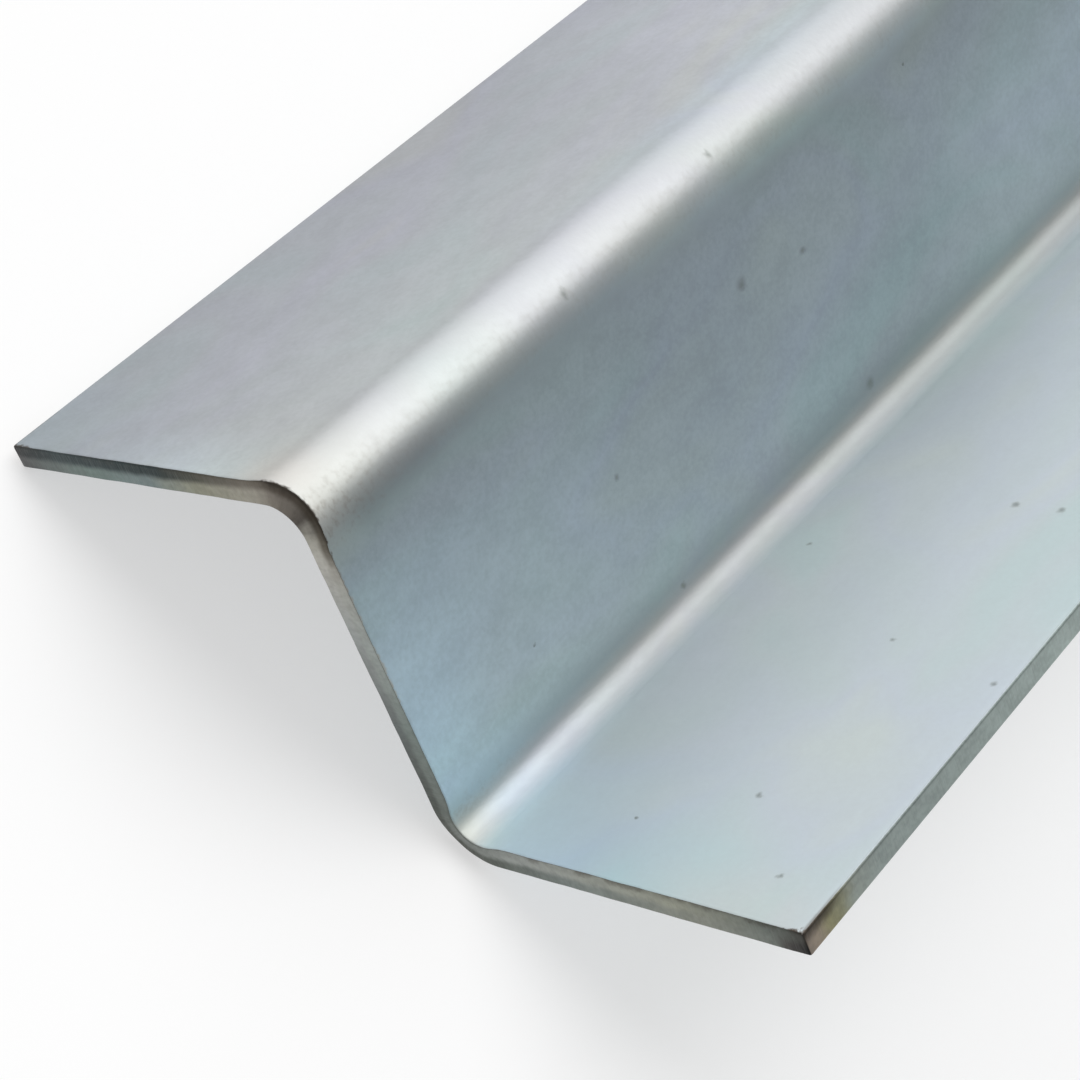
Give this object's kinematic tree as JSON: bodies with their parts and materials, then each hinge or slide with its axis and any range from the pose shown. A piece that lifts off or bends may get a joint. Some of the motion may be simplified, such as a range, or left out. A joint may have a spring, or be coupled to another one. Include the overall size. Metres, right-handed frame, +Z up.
{
  "type": "steel z-profile",
  "caption": "Zinc-plated steel Z-profile folded from one strip of sheet: a web with opposite flanges at right angles, for edging, framing and carrying panels.",
  "frame": {"origin": "on the floor, under the middle of the profile's length and overall width", "axes": "+X along the length, away from the end that the picture shows; +Y across, towards the upper flange's tip; +Z up, with the profile lying as it comes to rest"},
  "size_m": [1, 0.105, 0.033],
  "materials": {
    "zinc_steel": "bright zinc plating with a faint blue passivation, satin, left as rolled and folded"
  },
  "bodies": {
    "root": {"z_profile": "zinc_steel"}
  },
  "joints": []
}
